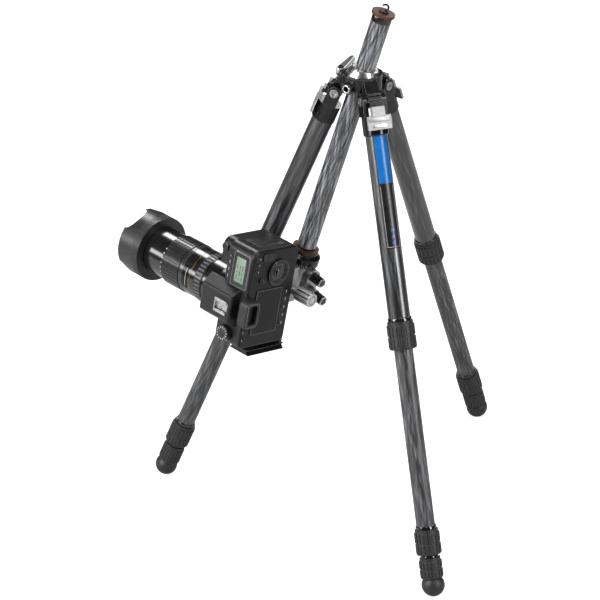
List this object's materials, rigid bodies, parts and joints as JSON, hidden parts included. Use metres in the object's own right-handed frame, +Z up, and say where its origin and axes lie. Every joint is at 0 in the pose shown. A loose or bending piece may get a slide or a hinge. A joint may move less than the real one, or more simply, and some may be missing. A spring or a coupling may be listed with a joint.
{
  "type": "digital camera hung on a tripod",
  "caption": "Tripod with telescopic twist-lock legs and an inverted leaning column in a ball seat; a ball head below clamps a digital reflex camera with zoom lens and hood in an L bracket.",
  "frame": {"origin": "on the ground under the middle of the overall box", "axes": "+Z up; -X along the leg that the column leans over; the lens points to -X and +Y"},
  "size_m": [0.5389, 0.5618, 0.8035],
  "materials": {
    "black_paint": "black satin coating",
    "silver": "machined, satin",
    "steel": "plain bolts",
    "gunmetal": "dark grey metallic coating",
    "carbon": "streaky carbon fibre, clear coated",
    "braid": "braided carbon fibre, clear coated",
    "rubber": "ribbed, matte",
    "bronze": "brown anodised",
    "camera_shell": "fine grained black",
    "trim": "glossy black",
    "screen": "dark screen cover",
    "display": "green-grey display window",
    "lens_glass": "coated"
  },
  "bodies": {
    "stand": {"apex_spider": "black_paint", "leg_hinge_bolts": "steel"},
    "lever": {"clamp_lever": "silver"},
    "seat": {"ball_seat_ring": "black_paint"},
    "ball": {"column_ball": "silver"},
    "column": {"column_tube": "braid", "column_end_caps": "black_paint", "column_end_discs": "bronze", "head_base": "black_paint"},
    "head": {"head_housing": "gunmetal"},
    "pan_knob": {"head_pan_knob": "black_paint"},
    "lock_knob": {"head_lock_knob": "black_paint"},
    "head_ball": {"head_ball": "silver"},
    "camera": {"clamp_body": "black_paint", "l_bracket": "black_paint", "camera_body": "camera_shell", "rear_cover": "camera_shell", "rear_screen": "screen", "top_display": "display", "eyecup": "rubber", "hot_shoe": "silver", "lens_barrel": "camera_shell"},
    "jaw": {"clamp_jaw": "black_paint"},
    "clamp_knob": {"clamp_knob": "silver"},
    "mode_dial": {"mode_dial": "trim"},
    "rear_dial": {"rear_dial": "trim"},
    "main_dial": {"main_dial": "trim"},
    "shutter": {"shutter_button": "trim"},
    "focus_ring": {"focus_ring": "rubber"},
    "zoom_ring": {"zoom_ring": "rubber"},
    "zoom": {"zoom_barrel": "trim", "front_lens": "lens_glass"},
    "hood": {"lens_hood": "trim"},
    "leg_1": {"leg_1_shoulder": "black_paint", "leg_1_upper_tube": "carbon"},
    "leg_1_latch": {"leg_1_latch": "silver"},
    "leg_1_lock_1": {"leg_1_lock_1": "rubber"},
    "leg_1_second": {"leg_1_second_tube": "carbon"},
    "leg_1_lock_2": {"leg_1_lock_2": "rubber"},
    "leg_1_third": {"leg_1_third_tube": "carbon"},
    "leg_1_lock_3": {"leg_1_lock_3": "rubber"},
    "leg_1_foot": {"leg_1_foot": "rubber"},
    "leg_2": {"leg_2_shoulder": "black_paint", "leg_2_upper_tube": "carbon"},
    "leg_2_latch": {"leg_2_latch": "silver"},
    "leg_2_lock_1": {"leg_2_lock_1": "rubber"},
    "leg_2_second": {"leg_2_second_tube": "carbon"},
    "leg_2_lock_2": {"leg_2_lock_2": "rubber"},
    "leg_2_third": {"leg_2_third_tube": "carbon"},
    "leg_2_lock_3": {"leg_2_lock_3": "rubber"},
    "leg_2_foot": {"leg_2_foot": "rubber"},
    "leg_3": {"leg_3_shoulder": "black_paint", "leg_3_upper_tube": "carbon"},
    "leg_3_latch": {"leg_3_latch": "silver"},
    "leg_3_lock_1": {"leg_3_lock_1": "rubber"},
    "leg_3_second": {"leg_3_second_tube": "carbon"},
    "leg_3_lock_2": {"leg_3_lock_2": "rubber"},
    "leg_3_third": {"leg_3_third_tube": "carbon"},
    "leg_3_lock_3": {"leg_3_lock_3": "rubber"},
    "leg_3_foot": {"leg_3_foot": "rubber"}
  },
  "joints": [
    {"name": "lever_swing", "type": "hinge", "parent": "stand", "child": "lever", "pos_m": [0.06535, 0.01771, 0.69176], "axis": [0, 0, 1], "range_deg": [0, 60]},
    {"name": "seat_swivel", "type": "hinge", "parent": "stand", "child": "seat", "pos_m": [0.1001, 0, 0.69176], "axis": [0, 0, 1], "range_deg": [0, 25]},
    {"name": "column_tilt", "type": "hinge", "parent": "seat", "child": "ball", "pos_m": [0.1001, 0, 0.69176], "axis": [0.9947, 0.1028, 0], "range_deg": [-8, 0]},
    {"name": "column_slide", "type": "slide", "parent": "ball", "child": "column", "axis": [0.2825, 0.0292, 0.9588], "range_m": [-0.08, 0.02]},
    {"name": "head_pan", "type": "hinge", "parent": "column", "child": "head", "pos_m": [0.0063, -0.00969, 0.37344], "axis": [0.2825, 0.0292, 0.9588], "range_deg": [-6, 30]},
    {"name": "pan_knob_turn", "type": "hinge", "parent": "head", "child": "pan_knob", "pos_m": [0.00983, -0.00933, 0.38542], "axis": [0.7766, -0.5937, -0.2107], "range_deg": [0, 180]},
    {"name": "lock_knob_turn", "type": "hinge", "parent": "head", "child": "lock_knob", "pos_m": [0.0032, -0.01001, 0.36289], "axis": [0.7766, -0.5937, -0.2107], "range_deg": [0, 180]},
    {"name": "head_tilt", "type": "hinge", "parent": "head", "child": "head_ball", "pos_m": [0.0063, -0.00969, 0.37344], "axis": [0.7766, -0.5937, -0.2107], "range_deg": [0, 12]},
    {"name": "camera_roll", "type": "hinge", "parent": "head_ball", "child": "camera", "pos_m": [0.0063, -0.00969, 0.37344], "axis": [-0.5631, -0.8041, 0.1904], "range_deg": [-8, 8]},
    {"name": "jaw_slide", "type": "slide", "parent": "camera", "child": "jaw", "axis": [0.8123, -0.581, -0.0513], "range_m": [0, 0.0045]},
    {"name": "clamp_knob_turn", "type": "hinge", "parent": "jaw", "child": "clamp_knob", "pos_m": [0.00655, -0.05796, 0.37041], "axis": [0.8123, -0.581, -0.0513], "range_deg": [0, 1080]},
    {"name": "mode_dial_turn", "type": "hinge", "parent": "camera", "child": "mode_dial", "pos_m": [-0.07397, -0.14533, 0.3384], "axis": [-0.5631, -0.8041, 0.1904], "continuous": true},
    {"name": "rear_dial_turn", "type": "hinge", "parent": "camera", "child": "rear_dial", "pos_m": [-0.00455, -0.10562, 0.42251], "axis": [0.8123, -0.581, -0.0513], "continuous": true},
    {"name": "main_dial_turn", "type": "hinge", "parent": "camera", "child": "main_dial", "pos_m": [-0.06358, -0.11715, 0.4566], "axis": [0.1519, 0.1258, 0.9804], "continuous": true},
    {"name": "shutter_press", "type": "slide", "parent": "camera", "child": "shutter", "axis": [0.5631, 0.8041, -0.1904], "range_m": [0, 0.0015], "stiffness_N_per_m": 400},
    {"name": "focus_turn", "type": "hinge", "parent": "camera", "child": "focus_ring", "pos_m": [-0.06346, -0.08724, 0.37318], "axis": [0.8123, -0.581, -0.0513], "range_deg": [-60, 60]},
    {"name": "zoom_turn", "type": "hinge", "parent": "camera", "child": "zoom_ring", "pos_m": [-0.06346, -0.08724, 0.37318], "axis": [0.8123, -0.581, -0.0513], "range_deg": [0, 60]},
    {"name": "zoom_slide", "type": "slide", "parent": "camera", "child": "zoom", "axis": [0.8123, -0.581, -0.0513], "range_m": [0, 0.027]},
    {"name": "hood_twist", "type": "hinge", "parent": "zoom", "child": "hood", "pos_m": [-0.06346, -0.08724, 0.37318], "axis": [0.8123, -0.581, -0.0513], "range_deg": [0, 60]},
    {"name": "leg_1_fold", "type": "hinge", "parent": "stand", "child": "leg_1", "pos_m": [0.1191, -0.03291, 0.67007], "axis": [0.866, 0.5, 0], "range_deg": [0, 22]},
    {"name": "leg_1_latch_pull", "type": "slide", "parent": "leg_1", "child": "leg_1_latch", "axis": [0.4629, -0.8018, 0.3778], "range_m": [0, 0.006], "stiffness_N_per_m": 300},
    {"name": "leg_1_lock_1_turn", "type": "hinge", "parent": "leg_1", "child": "leg_1_lock_1", "pos_m": [0.1191, -0.03291, 0.67007], "axis": [-0.1889, 0.3272, 0.9259], "range_deg": [0, 90]},
    {"name": "leg_1_second_slide", "type": "slide", "parent": "leg_1", "child": "leg_1_second", "axis": [0.1889, -0.3272, -0.9259], "range_m": [-0.25, 0]},
    {"name": "leg_1_lock_2_turn", "type": "hinge", "parent": "leg_1_second", "child": "leg_1_lock_2", "pos_m": [0.1191, -0.03291, 0.67007], "axis": [-0.1889, 0.3272, 0.9259], "range_deg": [0, 90]},
    {"name": "leg_1_third_slide", "type": "slide", "parent": "leg_1_second", "child": "leg_1_third", "axis": [0.1889, -0.3272, -0.9259], "range_m": [0, 0.25]},
    {"name": "leg_1_lock_3_turn", "type": "hinge", "parent": "leg_1_third", "child": "leg_1_lock_3", "pos_m": [0.1191, -0.03291, 0.67007], "axis": [-0.1889, 0.3272, 0.9259], "range_deg": [0, 90]},
    {"name": "leg_1_foot_slide", "type": "slide", "parent": "leg_1_third", "child": "leg_1_foot", "axis": [0.1889, -0.3272, -0.9259], "range_m": [0, 0.25]},
    {"name": "leg_2_fold", "type": "hinge", "parent": "stand", "child": "leg_2", "pos_m": [0.1191, 0.03291, 0.67007], "axis": [-0.866, 0.5, 0], "range_deg": [0, 22]},
    {"name": "leg_2_latch_pull", "type": "slide", "parent": "leg_2", "child": "leg_2_latch", "axis": [0.4629, 0.8018, 0.3778], "range_m": [0, 0.006], "stiffness_N_per_m": 300},
    {"name": "leg_2_lock_1_turn", "type": "hinge", "parent": "leg_2", "child": "leg_2_lock_1", "pos_m": [0.1191, 0.03291, 0.67007], "axis": [-0.1889, -0.3272, 0.9259], "range_deg": [0, 90]},
    {"name": "leg_2_second_slide", "type": "slide", "parent": "leg_2", "child": "leg_2_second", "axis": [0.1889, 0.3272, -0.9259], "range_m": [-0.25, 0]},
    {"name": "leg_2_lock_2_turn", "type": "hinge", "parent": "leg_2_second", "child": "leg_2_lock_2", "pos_m": [0.1191, 0.03291, 0.67007], "axis": [-0.1889, -0.3272, 0.9259], "range_deg": [0, 90]},
    {"name": "leg_2_third_slide", "type": "slide", "parent": "leg_2_second", "child": "leg_2_third", "axis": [0.1889, 0.3272, -0.9259], "range_m": [0, 0.25]},
    {"name": "leg_2_lock_3_turn", "type": "hinge", "parent": "leg_2_third", "child": "leg_2_lock_3", "pos_m": [0.1191, 0.03291, 0.67007], "axis": [-0.1889, -0.3272, 0.9259], "range_deg": [0, 90]},
    {"name": "leg_2_foot_slide", "type": "slide", "parent": "leg_2_third", "child": "leg_2_foot", "axis": [0.1889, 0.3272, -0.9259], "range_m": [0, 0.25]},
    {"name": "leg_3_fold", "type": "hinge", "parent": "stand", "child": "leg_3", "pos_m": [0.0621, 0, 0.67007], "axis": [0, -1, 0], "range_deg": [0, 2.5]},
    {"name": "leg_3_latch_pull", "type": "slide", "parent": "leg_3", "child": "leg_3_latch", "axis": [-0.9259, 0, 0.3778], "range_m": [0, 0.006], "stiffness_N_per_m": 300},
    {"name": "leg_3_lock_1_turn", "type": "hinge", "parent": "leg_3", "child": "leg_3_lock_1", "pos_m": [0.0621, 0, 0.67007], "axis": [0.3778, 0, 0.9259], "range_deg": [0, 90]},
    {"name": "leg_3_second_slide", "type": "slide", "parent": "leg_3", "child": "leg_3_second", "axis": [-0.3778, 0, -0.9259], "range_m": [-0.25, 0]},
    {"name": "leg_3_lock_2_turn", "type": "hinge", "parent": "leg_3_second", "child": "leg_3_lock_2", "pos_m": [0.0621, 0, 0.67007], "axis": [0.3778, 0, 0.9259], "range_deg": [0, 90]},
    {"name": "leg_3_third_slide", "type": "slide", "parent": "leg_3_second", "child": "leg_3_third", "axis": [-0.3778, 0, -0.9259], "range_m": [0, 0.25]},
    {"name": "leg_3_lock_3_turn", "type": "hinge", "parent": "leg_3_third", "child": "leg_3_lock_3", "pos_m": [0.0621, 0, 0.67007], "axis": [0.3778, 0, 0.9259], "range_deg": [0, 90]},
    {"name": "leg_3_foot_slide", "type": "slide", "parent": "leg_3_third", "child": "leg_3_foot", "axis": [-0.3778, 0, -0.9259], "range_m": [0, 0.25]}
  ],
  "couplings": [
    {"joint": "clamp_knob_turn", "follows": "jaw_slide", "rad_per_m": 4188},
    {"joint": "zoom_slide", "follows": "zoom_turn", "m_per_rad": 0.025783}
  ]
}
